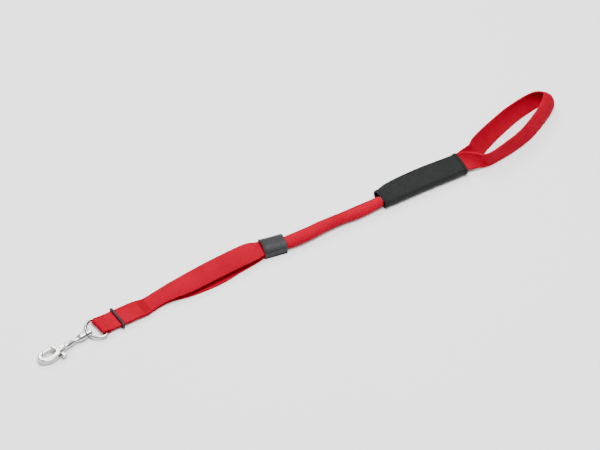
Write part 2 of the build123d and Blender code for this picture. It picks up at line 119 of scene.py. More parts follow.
class Board:
    """The node board of one material, with a short way to place and link nodes."""

    def __init__(self, name: str) -> None:
        """Start an empty board.

        Args:
            name: The material's name.
        """
        self.material = bpy.data.materials.new(name)
        self.material.use_nodes = True
        self.tree = self.material.node_tree
        self.tree.nodes.clear()
        output = self.tree.nodes.new("ShaderNodeOutputMaterial")
        self.shader = self.tree.nodes.new("ShaderNodeBsdfPrincipled")
        self.tree.links.new(self.shader.outputs[0], output.inputs[0])

    def node(self, kind: str, settings: dict | None = None, **inputs: object) -> bpy.types.Node:
        """Place a node.

        Args:
            kind: Blender's name for the node, without the ShaderNode prefix.
            settings: Properties of the node itself.
            **inputs: Values or output sockets for its inputs, with _ for a space.

        Returns:
            The node.
        """
        made = self.tree.nodes.new("ShaderNode" + kind)
        for key, value in (settings or {}).items():
            setattr(made, key, value)
        for key, value in inputs.items():
            self.plug(made.inputs[key.replace("_", " ")], value)
        return made

    def plug(self, socket: bpy.types.NodeSocket, value: object) -> None:
        """Give an input socket a value, or link an output socket to it."""
        if isinstance(value, bpy.types.NodeSocket):
            self.tree.links.new(value, socket)
        else:
            socket.default_value = value

    def maths(self, operation: str, *values: object) -> bpy.types.NodeSocket:
        """Work out one number from others.

        Args:
            operation: Blender's name for the operation.
            *values: Numbers or sockets.

        Returns:
            The result's socket.
        """
        made = self.tree.nodes.new("ShaderNodeMath")
        made.operation = operation
        for socket, value in zip(made.inputs, values):
            self.plug(socket, value)
        return made.outputs[0]

    def mix(self, amount: object, first: object, second: object) -> bpy.types.NodeSocket:
        """Blend two colours by an amount from 0 to 1."""
        made = self.tree.nodes.new("ShaderNodeMix")
        made.data_type = "RGBA"
        self.plug(made.inputs[0], amount)
        self.plug(made.inputs[6], first)
        self.plug(made.inputs[7], second)
        return made.outputs[2]

    def spread(self, value: object, low: float, high: float, to_low: float, to_high: float) -> object:
        """Map a number from one span to another, held at both ends."""
        made = self.node("MapRange", {"clamp": True}, Value=value)
        for socket, number in zip(made.inputs[1:5], (low, high, to_low, to_high)):
            socket.default_value = number
        return made.outputs[0]

    def bump(self, height: object, distance: float, under: object = None) -> bpy.types.NodeSocket:
        """Turn a height into a surface normal, on top of another where one is given."""
        made = self.node("Bump", None, Height=height, Distance=distance)
        if under is not None:
            self.plug(made.inputs["Normal"], under)
        return made.outputs[0]

    def finish(self, colour: object, roughness: object, normal: object = None, **plain: float) -> None:
        """Fill in the shader.

        Args:
            colour: Base colour, as a value or a socket.
            roughness: Roughness, as a value or a socket.
            normal: Surface normal's socket, if there is one.
            **plain: Numbers that are the same all over, with _ for a space.
        """
        self.plug(self.shader.inputs["Base Color"], colour)
        self.plug(self.shader.inputs["Roughness"], roughness)
        if normal is not None:
            self.plug(self.shader.inputs["Normal"], normal)
        for key, value in plain.items():
            self.shader.inputs[key.replace("_", " ")].default_value = value


@dataclass(frozen=True)
class WovenFinish:
    """Woven nylon that follows a piece's own map, whose units are metres along and across."""

    name: str
    light: Colour
    dark: Colour
    pick: float = 1.5 * MM
    end: float = 0.8 * MM
    slant: float = 0.0
    relief: float = 0.2 * MM

    def make(self) -> bpy.types.Material:
        """Build the material."""
        board = Board(self.name)
        place = board.node("UVMap", {"uv_map": "lay"}).outputs[0]
        turned = board.node("Mapping", None, Vector=place, Rotation=(0, 0, self.slant)).outputs[0]
        weave = board.node(
            "TexBrick",
            {"offset": 0.5},
            Vector=turned,
            Color1=(1, 1, 1, 1),
            Color2=(0.62, 0.62, 0.62, 1),
            Mortar=(0, 0, 0, 1),
            Scale=1.0,
            Mortar_Size=self.end * 0.2,
            Mortar_Smooth=1.0,
            Brick_Width=self.pick,
            Row_Height=self.end,
        )
        body = board.node("TexCoord").outputs["Object"]
        cloud = board.node("TexNoise", None, Vector=body, Scale=38.0, Detail=4.0).outputs[0]
        fuzz = board.node("TexNoise", None, Vector=body, Scale=2600.0, Detail=2.0).outputs[0]
        yarn = board.mix(board.spread(weave.outputs[0], 0, 1, 0.5, 1), self.dark, self.light)
        shade = board.mix(board.spread(cloud, 0.35, 0.7, 0, 0.35), yarn, self.dark)
        normal = board.bump(weave.outputs[0], self.relief)
        normal = board.bump(fuzz, 0.05 * MM, normal)
        board.finish(
            shade,
            board.spread(fuzz, 0.3, 0.7, 0.62, 0.82),
            normal,
            Specular_IOR_Level=0.03,
        )
        return board.material


@dataclass(frozen=True)
class MetalFinish:
    """Plated metal with a faintly uneven cast skin."""

    name: str
    colour: Colour
    dull: tuple[float, float] = (0.12, 0.3)
    grain: float = 0.06 * MM

    def make(self) -> bpy.types.Material:
        """Build the material."""
        board = Board(self.name)
        body = board.node("TexCoord").outputs["Object"]
        cast = board.node("TexNoise", None, Vector=body, Scale=420.0, Detail=3.0).outputs[0]
        smear = board.node("TexNoise", None, Vector=body, Scale=90.0, Detail=5.0).outputs[0]
        darker = tuple(channel * 0.72 for channel in self.colour[:3]) + (1.0,)
        board.finish(
            board.mix(board.spread(smear, 0.35, 0.75, 0, 0.6), self.colour, darker),
            board.spread(smear, 0.3, 0.7, *self.dull),
            board.bump(cast, self.grain),
            Metallic=1.0,
        )
        return board.material


@dataclass(frozen=True)
class MouldedFinish:
    """Moulded plastic or rubberised cloth with a fine pebbled grain."""

    name: str
    colour: Colour
    pale: Colour
    roughness: tuple[float, float] = (0.45, 0.62)
    grain_size: float = 1500.0
    relief: float = 0.03 * MM

    def make(self) -> bpy.types.Material:
        """Build the material."""
        board = Board(self.name)
        body = board.node("TexCoord").outputs["Object"]
        pebble = board.node("TexVoronoi", {"feature": "F1"}, Vector=body, Scale=self.grain_size)
        cloud = board.node("TexNoise", None, Vector=body, Scale=60.0, Detail=6.0).outputs[0]
        scuff = board.node("TexNoise", None, Vector=body, Scale=700.0, Detail=2.0).outputs[0]
        board.finish(
            board.mix(board.spread(cloud, 0.35, 0.75, 0, 1), self.colour, self.pale),
            board.spread(scuff, 0.3, 0.7, *self.roughness),
            board.bump(pebble.outputs["Distance"], self.relief, board.bump(scuff, self.relief * 0.4)),
            Specular_IOR_Level=0.25,
        )
        return board.material


class Finish(Enum):
    """The lead's finishes, by the record's material slot."""

    WEBBING = "red_webbing"
    SHEATH = "red_sheath"
    THREAD = "red_thread"
    NICKEL = "nickel"
    DARK_WIRE = "dark_wire"
    CRIMP = "crimp_steel"
    SPRING = "spring_steel"
    MOULDING = "grey_moulding"
    GRIP = "black_grip"
    BINDING = "black_binding"
    CORE = "rubber_core"
    FOAM = "grey_foam"


def make_finishes() -> Looks:
    """Build every material once.

    Returns:
        The material of each finish.
    """
    red = WovenFinish("red_webbing", (0.42, 0.0, 0.018, 1), (0.24, 0.0, 0.009, 1))
    sheath = WovenFinish(
        "red_sheath", (0.46, 0.0, 0.02, 1), (0.25, 0.0, 0.01, 1), 2.1 * MM, 1.05 * MM, 0.7, 0.28 * MM
    )
    thread = MouldedFinish(
        "red_thread", (0.34, 0.0, 0.008, 1), (0.27, 0.0, 0.006, 1), (0.5, 0.7), 2400.0, 0.04 * MM
    )
    plain = [
        red,
        sheath,
        thread,
        MetalFinish("nickel", (0.48, 0.48, 0.47, 1), (0.1, 0.22)),
        MetalFinish("dark_wire", (0.035, 0.036, 0.038, 1), (0.25, 0.4)),
        MetalFinish("crimp_steel", (0.6, 0.6, 0.59, 1), (0.25, 0.45)),
        MetalFinish("spring_steel", (0.5, 0.5, 0.5, 1), (0.3, 0.4)),
        MouldedFinish("grey_moulding", (0.011, 0.0113, 0.013, 1), (0.016, 0.0165, 0.0187, 1)),
        MouldedFinish(
            "black_grip",
            (0.0036, 0.0046, 0.0042, 1),
            (0.006, 0.0075, 0.007, 1),
            (0.65, 0.85),
            1100.0,
            0.16 * MM,
        ),
        MouldedFinish(
            "black_binding",
            (0.0028, 0.0033, 0.0032, 1),
            (0.005, 0.0057, 0.0055, 1),
            (0.7, 0.85),
            1900.0,
            0.12 * MM,
        ),
        MouldedFinish("rubber_core", (0.6, 0.53, 0.42, 1), (0.7, 0.64, 0.52, 1), (0.5, 0.7)),
        MouldedFinish(
            "grey_foam",
            (0.12, 0.12, 0.12, 1),
            (0.17, 0.17, 0.17, 1),
            (0.8, 0.95),
            900.0,
            0.3 * MM,
        ),
    ]
    return {finish: kind.make() for finish, kind in zip(Finish, plain)}


# ------------------------------------------------------------------ workshop


def pick(piece: bpy.types.Object) -> None:
    """Select one piece alone and make it active."""
    bpy.ops.object.select_all(action="DESELECT")
    piece.select_set(True)
    bpy.context.view_layer.objects.active = piece


def apply_modifiers(piece: bpy.types.Object) -> None:
    """Apply a piece's modifiers in order."""
    pick(piece)
    for modifier in list(piece.modifiers):
        bpy.ops.object.modifier_apply(modifier=modifier.name)


def smooth(piece: bpy.types.Object, degrees: float = 40.0) -> None:
    """Shade a piece smooth where its faces meet at less than an angle."""
    pick(piece)
    bpy.ops.object.shade_smooth_by_angle(angle=math.radians(degrees))


def settle(piece: bpy.types.Object) -> None:
    """Put a piece's place into its mesh, so that its object sits at the origin."""
    pick(piece)
    bpy.ops.object.transform_apply(location=True, rotation=True, scale=True)


def dress(piece: bpy.types.Object, material: bpy.types.Material) -> None:
    """Give a piece one material all over."""
    piece.data.materials.clear()
    piece.data.materials.append(material)


def edit(piece: bpy.types.Object, *steps: Callable[[], object]) -> None:
    """Run edit-mode operators on all of a piece.

    Args:
        piece: The piece.
        *steps: Operators to call in order.
    """
    pick(piece)
    bpy.ops.object.mode_set(mode="EDIT")
    bpy.ops.mesh.select_all(action="SELECT")
    for step in steps:
        step()
    bpy.ops.object.mode_set(mode="OBJECT")


def curve_through(points: np.ndarray, places: np.ndarray) -> np.ndarray:
    """Smooth line through rows of numbers, at places from 0 to the last row.

    Args:
        points: One row of numbers for each station.
        places: Where to read the line, in stations.

    Returns:
        One row for each place.
    """
    padded = np.vstack([2 * points[0] - points[1], points, 2 * points[-1] - points[-2]])
    whole = np.clip(np.floor(places).astype(int), 0, len(points) - 2)
    part = (places - whole)[:, None]
    before, start, end, after = (padded[whole + shift] for shift in range(4))
    return 0.5 * (
        2 * start
        + (end - before) * part
        + (2 * before - 5 * start + 4 * end - after) * part**2
        + (3 * start - before - 3 * end + after) * part**3
    )


def even_places(points: np.ndarray, rows: int) -> tuple[np.ndarray, float]:
    """Places along a line through stations that are evenly spaced by length.

    Args:
        points: The stations.
        rows: How many places.

    Returns:
        The places, in stations, and the line's length.
    """
    fine = np.linspace(0, len(points) - 1, 60 * len(points))
    line = curve_through(points, fine)
    run = np.concatenate([[0], np.cumsum(np.linalg.norm(np.diff(line, axis=0), axis=1))])
    return np.interp(np.linspace(0, run[-1], rows), run, fine), float(run[-1])


def lay_grid(
    name: str,
    rows: int,
    columns: int,
    length: float,
    width: float,
    place: Callable[[int, float], Sequence[float]],
) -> bpy.types.Object:
    """Add a flat grid and lay it over a surface, with a map in metres.

    Args:
        name: The piece's name.
        rows: Faces along.
        columns: Faces across.
        length: Length that the map says.
        width: Width that the map says.
        place: Gives the place of a row's number and a share across from 0 to 1.

    Returns:
        The piece.
    """
    bpy.ops.object.select_all(action="DESELECT")
    bpy.ops.mesh.primitive_grid_add(x_subdivisions=rows, y_subdivisions=columns, size=1.0)
    piece = bpy.context.object
    piece.name = piece.data.name = name
    layer = piece.data.uv_layers[0]
    layer.name = "lay"
    for corner in layer.data:
        corner.uv = (corner.uv[0] * length, corner.uv[1] * width)
    for vertex in piece.data.vertices:
        row = round((vertex.co.x + 0.5) * rows)
        vertex.co = place(row, vertex.co.y + 0.5)
    return piece


@dataclass
class Webbing:
    """A length of webbing laid between the lines of its two edges.

    The crown is how far the webbing's middle stands off the line between its edges.
    """

    name: str
    low: np.ndarray
    high: np.ndarray
    crown: np.ndarray
    thick: float = 1.8 * MM
    rows: int = 200
    columns: int = 8
    ripple: float = 0.12 * MM

    def build(self) -> bpy.types.Object:
        """Lay the webbing and give it its thickness and rounded edges.

        Returns:
            The piece.
        """
        both = np.hstack([self.low, self.high])
        places, _ = even_places((self.low + self.high) / 2, self.rows + 1)
        edges = curve_through(both, places)
        middle = (edges[:, :3] + edges[:, 3:]) / 2
        length = float(np.linalg.norm(np.diff(middle, axis=0), axis=1).sum())
        width = float(np.linalg.norm(edges[:, 3:] - edges[:, :3], axis=1).mean())
        onward = np.gradient(middle, axis=0)
        across = edges[:, 3:] - edges[:, :3]
        up = np.cross(onward, across)
        up /= np.linalg.norm(up, axis=1)[:, None]
        crown = curve_through(self.crown[:, None], places)[:, 0]

        def place(row: int, share: float) -> Sequence[float]:
            """Place of one point of the webbing's middle layer."""
            off_middle = (2 * share - 1) ** 2
            wave = self.ripple * math.sin(row * 0.9 + 2.1 * math.sin(row * 0.23)) * off_middle
            rise = wave + crown[row] * (1 - off_middle)
            return edges[row, :3] + across[row] * share + up[row] * rise

        piece = lay_grid(self.name, self.rows, self.columns, length, width, place)
        solid = piece.modifiers.new("thickness", "SOLIDIFY")
        solid.thickness = self.thick
        solid.offset = 0.0
        rim = piece.modifiers.new("rounding", "BEVEL")
        rim.width = self.thick * 0.3
        rim.segments = 2
        rim.limit_method = "ANGLE"
        rim.angle_limit = math.radians(50)
        apply_modifiers(piece)
        smooth(piece, 50)
        return piece


@dataclass
class Sleeve:
    """A closed tube whose section changes along a line of stations.

    Each station is a place on the middle line, a half width, a half height and a squareness, where 2
    is an ellipse and more is nearer a rectangle.
    """

    name: str
    stations: np.ndarray
    rows: int
    swell: Callable[[float, float], float]
    columns: int = 56

    def build(self) -> bpy.types.Object:
        """Lay the tube and join its seam.

        Returns:
            The piece, open at both ends.
        """
        places, length = even_places(self.stations[:, :3], self.rows + 1)
        line = curve_through(self.stations, places)
        onward = np.gradient(line[:, :3], axis=0)
        onward /= np.linalg.norm(onward, axis=1)[:, None]
        side = np.cross((0.0, 0.0, 1.0), onward)
        side /= np.linalg.norm(side, axis=1)[:, None]
        up = np.cross(onward, side)
        girth = 2 * math.pi * float(line[:, 3].mean() + line[:, 4].mean()) / 2

        def place(row: int, share: float) -> Sequence[float]:
            """Place of one point of the tube's skin."""
            turn = 2 * math.pi * share
            power = 2.0 / line[row, 5]
            flat = math.copysign(abs(math.cos(turn)) ** power, math.cos(turn)) * line[row, 3]
            tall = math.copysign(abs(math.sin(turn)) ** power, math.sin(turn)) * line[row, 4]
            grow = self.swell(row / self.rows, turn)
            return line[row, :3] + (side[row] * flat + up[row] * tall) * grow

        piece = lay_grid(self.name, self.rows, self.columns, length, girth, place)
        edit(piece, lambda: bpy.ops.mesh.remove_doubles(threshold=0.01 * MM))
        return piece


@dataclass(frozen=True)
class Puff:
    """Cloth simulation that swells a padded skin from inside while its ends are held.

    No point moves by more than the most, and a point that moves inwards keeps only the sink share.
    """

    pressure: float = 4.0
    most: float = 0.9 * MM
    held: float = 5.0 * MM
    frames: int = 20
    quality: int = 6
    weight: float = 0.002
    stretch: float = 5.0
    bend: float = 0.05
    sink: float = 0.1

    def swell(self, skin: bpy.types.Object) -> None:
        """Run the simulation on a skin that lies along X, and keep the shape it reaches.

        Args:
            skin: The open skin.
        """
        before = np.array([point.co for point in skin.data.vertices])
        along = before[:, 0]
        ends = (along < along.min() + self.held) | (along > along.max() - self.held)
        group = skin.vertex_groups.new(name="held")
        group.add([int(number) for number in np.flatnonzero(ends)], 1.0, "REPLACE")
        cloth = skin.modifiers.new("padding", "CLOTH")
        cloth.collision_settings.use_collision = False
        settings = cloth.settings
        settings.quality = self.quality
        settings.mass = self.weight
        settings.vertex_group_mass = group.name
        settings.use_pressure = True
        settings.uniform_pressure_force = self.pressure
        settings.tension_stiffness = settings.compression_stiffness = self.stretch
        settings.bending_stiffness = self.bend
        settings.effector_weights.gravity = 0.0
        for frame in range(1, self.frames + 1):
            bpy.context.scene.frame_set(frame)
        apply_modifiers(skin)
        bpy.context.scene.frame_set(1)
        moved = np.array([point.co for point in skin.data.vertices]) - before
        outward = (before - before.mean(axis=0)) * (0.0, 1.0, 1.0)
        inward = (moved * outward).sum(axis=1) < 0
        moved[inward] *= self.sink
        far = np.linalg.norm(moved, axis=1)[:, None]
        log.info("padding moves by up to %.2f mm, median %.2f mm", far.max() / MM, np.median(far) / MM)
        kept = before + moved * self.most * np.tanh(far / self.most) / np.maximum(far, 1e-9)
        for point, place in zip(skin.data.vertices, kept):
            point.co = place
        skin.vertex_groups.clear()


def wall(piece: bpy.types.Object, thick: float, inward: bool = True, rounding: float = 0.3) -> None:
    """Give an open skin a wall with rounded rims.

    Args:
        piece: The skin.
        thick: The wall's thickness.
        inward: Whether the wall grows inwards from the skin.
        rounding: The rims' rounding, as a share of the wall.
    """
    edit(piece, lambda: bpy.ops.mesh.normals_make_consistent(inside=False))
    solid = piece.modifiers.new("wall", "SOLIDIFY")
    solid.thickness = thick
    solid.offset = -1.0 if inward else 1.0
    rim = piece.modifiers.new("rim", "BEVEL")
    rim.width = thick * rounding
    rim.segments = 2
    rim.limit_method = "ANGLE"
    rim.angle_limit = math.radians(50)
    apply_modifiers(piece)


def cap(piece: bpy.types.Object) -> None:
    """Close a tube's two open ends."""
    pick(piece)
    bpy.ops.object.mode_set(mode="EDIT")
    bpy.ops.mesh.select_all(action="DESELECT")
    bpy.ops.mesh.select_mode(type="EDGE")
    bpy.ops.mesh.select_non_manifold(extend=False)
    bpy.ops.mesh.fill()
    bpy.ops.mesh.select_all(action="SELECT")
    bpy.ops.mesh.normals_make_consistent(inside=False)
    bpy.ops.mesh.select_mode(type="VERT")
    bpy.ops.object.mode_set(mode="OBJECT")


def cast_copy(node: str, name: str, voxel: float, rounds: int) -> bpy.types.Object:
    """Copy a CAD node and soften it as a casting.

    Args:
        node: The CAD node.
        name: The new piece's name.
        voxel: Size of the new mesh's faces.
        rounds: How many times its corners are smoothed.

    Returns:
        The piece.
    """
    source = frame["nodes"][node]
    piece = bpy.data.objects.new(name, source.data.copy())
    bpy.context.scene.collection.objects.link(piece)
    edit(piece, lambda: bpy.ops.mesh.remove_doubles(threshold=0.001 * MM))
    grid = piece.modifiers.new("skin", "REMESH")
    grid.mode = "VOXEL"
    grid.voxel_size = voxel
    soft = piece.modifiers.new("soft", "SMOOTH")
    soft.factor = 0.6
    soft.iterations = rounds
    swell = piece.modifiers.new("swell", "DISPLACE")
    swell.strength = voxel * rounds * 0.02
    swell.mid_level = 0.0
    apply_modifiers(piece)
    pick(piece)
    bpy.ops.object.shade_smooth()
    return piece


def place_part(piece: bpy.types.Object, body: str, slot: Finish, *nodes: str) -> None:
    """Parent a finished piece to its body and hide the CAD nodes it stands for.

    Args:
        piece: The piece.
        body: The CAD body it moves with.
        slot: Its finish; not used.
        *nodes: CAD nodes that it stands for.
    """
    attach(piece, body)
    if nodes:
        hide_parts(*nodes)
    log.info("%s: %d faces, moves with %s", piece.name, len(piece.data.polygons), body)


def joint_entry(name: str, key: str) -> Vector:
    """One entry of a joint of the record, as a vector."""
    return Vector(next(joint[key] for joint in frame["joints"] if joint["name"] == name))


# ------------------------------------------------------------------ sub-assemblies


@dataclass
class SnapHook:
    """Swivel trigger snap with its eye and keeper, softened like castings and bent wire."""

    voxel: float = 0.28 * MM
    wire_voxel: float = 0.3 * MM
    keeper_stretch: float = 1.45

    def flatten(self, piece: bpy.types.Object) -> None:
        """Widen the keeper's wire along the strap, as flat wire is."""
        way = joint_entry("keeper_slide", "axis").normalized()
        low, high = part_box("keeper_ring")
        middle = (low + high) / 2
        for vertex in piece.data.vertices:
            vertex.co += way * (vertex.co - middle).dot(way) * (self.keeper_stretch - 1)

    def build(self, looks: Looks) -> None:
        """Make the three pieces that are softened; the eye keeps its CAD shape.

        Args:
            looks: The material of each finish.
        """
        pieces = (
            ("snap_body", "snap_casting", "snap", Finish.NICKEL, self.voxel, 45),
            ("trigger_gate", "gate_casting", "gate", Finish.NICKEL, self.voxel, 16),
            ("keeper_ring", "keeper_wire", "keeper", Finish.DARK_WIRE, self.wire_voxel, 3),
        )
        for node, name, body, finish, voxel, rounds in pieces:
            piece = cast_copy(node, name, voxel, rounds)
            if body == "keeper":
                self.flatten(piece)
            dress(piece, looks[finish])
            place_part(piece, body, finish, node)


@dataclass
class ControlStrap:
    """Strap folded round the eye's bar, lapped as far as the stitching, then parted as a handle.

    The stations run from the joint under the handle to the bar, then back over the top. Each is a
    place on the middle of its edges (x, y, z) in millimetres, its share of the full width, and how
    far its middle is arched off its edges. The raised part of the upper layer is rolled by up to the
    roll in degrees, and the skin is the webbing's half thickness in millimetres.
    """

    width: float = 25.4 * MM
    fold: float = 3.0 * MM
    fold_turns: tuple[int, ...] = (-90, -45, 0, 45, 90)
    thread: float = 0.5 * MM
    zigzag: float = 0.65 * MM
    tack_rows: int = 4
    tack_share: float = 0.86
    stitches: int = 31
    skin: float = 0.9
    roll: float = 17.0
    roll_drop: float = 1.4
    roll_end: float = -15.0
    lap_top: float = 5.6
    handle_top: float = 13.8
    lower: tuple[Station, ...] = (
        (-3, 1.0, 2.6, 0.82, 0.0),
        (-12, 2.2, 2.6, 0.83, 0.0),
        (-17, 2.6, 2.2, 0.86, 0.0),
        (-24, 2.6, 1.1, 0.96, 0.0),
        (-32, 2.0, 0.95, 1.0, 0.0),
        (-40, 1.0, 0.95, 1.0, 0.0),
        (-56, -1.0, 0.95, 1.0, 0.0),
        (-71, -3.4, 0.95, 1.0, 0.0),
        (-87, -4.6, 0.95, 1.0, 0.0),
        (-103, -4.2, 0.95, 1.0, 0.0),
        (-118, -3.2, 0.95, 1.0, 0.0),
        (-130, -1.8, 0.95, 0.96, 0.4),
        (-142, 0.0, 0.95, 0.89, 1.6),
        (-152, 0.5, 1.0, 0.86, 2.6),
        (-163, -0.9, 1.1, 0.85, 3.0),
        (-172, -2.6, 1.8, 0.87, 2.4),
        (-179, -3.8, 2.9, 0.93, 1.0),
        (-185, -3.5, 3.5, 0.98, 0.1),
        (-192, -3.0, 3.6, 1.0, 0.0),
        (-202, -3.0, 3.6, 1.0, 0.0),
        (-214, -3.1, 3.6, 1.0, 0.0),
        (-228, -3.1, 3.5, 1.0, 0.0),
    )
    upper: tuple[Station, ...] = (
        (-228, -3.1, 5.7, 1.0, 0.0),
        (-214, -3.1, 5.6, 1.0, 0.0),
        (-202, -3.0, 5.6, 1.0, 0.0),
        (-192, -3.0, 5.6, 1.0, 0.0),
        (-185, -3.5, 5.5, 0.98, 0.1),
        (-179, -3.8, 5.1, 0.93, 1.1),
        (-172, -2.8, 4.3, 0.87, 2.8),
        (-163, -1.5, 4.7, 0.85, 3.8),
        (-152, -1.1, 6.2, 0.86, 3.8),
        (-142, -1.4, 8.0, 0.89, 3.6),
        (-130, -2.2, 9.8, 0.95, 3.2),
        (-118, -2.6, 11.2, 0.99, 3.0),
        (-105, -2.2, 12.2, 1.0, 2.8),
        (-89, -1.6, 13.2, 1.0, 2.8),
        (-69, -0.9, 13.8, 1.0, 2.8),
        (-49, -0.2, 13.8, 1.0, 2.8),
        (-36, 0.5, 13.0, 1.0, 2.8),
        (-27, 1.1, 11.5, 0.97, 2.4),
        (-19, 1.9, 9.0, 0.88, 1.4),
        (-12, 2.2, 7.6, 0.83, 0.5),
        (-3, 1.0, 7.2, 0.82, 0.0),
    )

    def build(self, looks: Looks) -> None:
        """Lay the strap and its rows of tacking.

        Args:
            looks: The material of each finish.
        """
        bar = joint_entry("eye_pivot", "pos_m")
        across = joint_entry("eye_pivot", "axis").normalized()
        onward = joint_entry("swivel_spin", "axis").normalized()
        level = Vector((0, 1, 0))
        half = self.width / 2
        low, high, crown = [], [], []

        def add(middle: Vector, side: Vector, share: float, arch: float) -> None:
            """Add the two edges and the arch at one place."""
            low.append(middle - side * half * share)
            high.append(middle + side * half * share)
            crown.append(arch)

        for x, y, z, share, arch in self.lower:
            add(Vector((x, y, z)) * MM, level, share, -arch * MM)
        for turn in self.fold_turns:
            angle = math.radians(turn)
            reach = onward * -math.cos(angle) * self.fold
            add(bar + reach + Vector((0, 0, math.sin(angle) * self.fold)), across, 1.0, 0.0)
        for x, y, z, share, arch in self.upper:
            raised = max(0.0, (z - self.lap_top) / (self.handle_top - self.lap_top))
            raised = raised if x < self.roll_end else 0.0
            angle = math.radians(self.roll * raised)
            side = Vector((0, math.cos(angle), math.sin(angle)))
            add(Vector((x, y, z - self.roll_drop * raised)) * MM, side, share, arch * MM)
        edges = (np.array(line) for line in (low, high, crown))
        strap = Webbing("control_strap", *edges, rows=400, columns=12).build()
        dress(strap, looks[Finish.WEBBING])
        place_part(strap, "strap", Finish.WEBBING, "lead_strap")
        self.tack(looks)

    def tack(self, looks: Looks) -> None:
        """Sew rows of zigzag thread over the end of the lap.

        Args:
            looks: The material of each finish.
        """
        table = np.array(sorted(self.upper))
        low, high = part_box("handle_stitches")
        curve = bpy.data.curves.new("tacking", "CURVE")
        curve.dimensions = "3D"
        curve.bevel_depth = self.thread / 2
        curve.bevel_resolution = 2
        curve.use_fill_caps = True
        for row in np.linspace(low.x + self.zigzag, high.x - self.zigzag, self.tack_rows):
            y, z, share, arch = (np.interp(row / MM, table[:, 0], line) for line in table[:, 1:].T)
            spline = curve.splines.new("POLY")
            spline.points.add(self.stitches - 1)
            for number, point in enumerate(spline.points):
                off = (2 * number / (self.stitches - 1) - 1) * self.tack_share
                sideways = y * MM + off * share * self.width / 2
                height = (z + arch * (1 - off**2) + self.skin) * MM + self.thread / 4
                point.co = (row + (number % 2 - 0.5) * self.zigzag * 2, sideways, height, 1.0)
        tacking = bpy.data.objects.new("handle_tacking", curve)
        bpy.context.scene.collection.objects.link(tacking)
        pick(tacking)
        bpy.ops.object.convert(target="MESH")
        tacking = bpy.context.object
        edit(
            tacking,
            lambda: bpy.ops.mesh.remove_doubles(threshold=0.001 * MM),
            lambda: bpy.ops.mesh.normals_make_consistent(inside=False),
        )
        smooth(tacking, 60)
        dress(tacking, looks[Finish.THREAD])
        place_part(tacking, "strap", Finish.THREAD, "handle_stitches")


@dataclass
class MouldedJoint:
    """Arched moulded cover over the joint between the strap and the bungee."""

    turn: float = -10.0
    length: float = 29.0 * MM
    half_width: float = 12.4 * MM
    side_height: float = 9.2 * MM
    top_height: float = 14.6 * MM
    foot: float = 1.6 * MM
    thick: float = 1.6 * MM
    lip: float = 0.5 * MM
    lip_share: float = 0.06
    leg: float = 0.17
    squareness: float = 2.3
    inset: float = 0.8 * MM
    rows: int = 48
    columns: int = 72

    def outline(self, share: float, along: float) -> tuple[float, float]:
        """Place on the arch's outline.

        Args:
            share: From 0 at one foot to 1 at the other.
            along: From 0 at the strap's end to 1 at the bungee's end.

        Returns:
            Sideways place and height.
        """
        lip = self.lip * math.exp(-((along / self.lip_share) ** 2))
        half = self.half_width + lip - self.lip * along
        side = self.side_height + lip
        top = self.top_height + lip - self.lip * along
        if share < self.leg:
            return -half, self.foot + (side - self.foot) * share / self.leg
        if share > 1 - self.leg:
            return half, self.foot + (side - self.foot) * (1 - share) / self.leg
        turn = (share - self.leg) / (1 - 2 * self.leg) * 2 - 1
        return half * turn, side + (top - side) * (1 - abs(turn) ** self.squareness)

    def build(self, looks: Looks) -> None:
        """Make the cover and its end wall.

        Args:
            looks: The material of each finish.
        """
        turned = Matrix.Rotation(math.radians(self.turn), 3, "Z")

        def place(row: int, share: float) -> Sequence[float]:
            """Place of one point of the cover's skin."""
            along = row / self.rows
            side, height = self.outline(share, along)
            return turned @ Vector(((along - 0.5) * self.length, side, height))

        cover = lay_grid("joint_cover", self.rows, self.columns, self.length, self.half_width * 2, place)
        pick(cover)
        bpy.ops.object.mode_set(mode="EDIT")
        bpy.ops.mesh.select_all(action="DESELECT")
        bpy.ops.object.mode_set(mode="OBJECT")
        for vertex in cover.data.vertices:
            vertex.select = (turned.inverted() @ vertex.co).x > self.length * 0.499
        bpy.ops.object.mode_set(mode="EDIT")
        bpy.ops.mesh.select_mode(type="VERT")
        bpy.ops.mesh.edge_face_add()
        bpy.ops.mesh.inset(thickness=self.inset)
        bpy.ops.mesh.select_all(action="SELECT")
        bpy.ops.mesh.normals_make_consistent(inside=False)
        bpy.ops.object.mode_set(mode="OBJECT")
        wall(cover, self.thick, True, 0.35)
        smooth(cover, 35)
        dress(cover, looks[Finish.MOULDING])
        place_part(cover, "strap", Finish.MOULDING, "joint_cover_top")


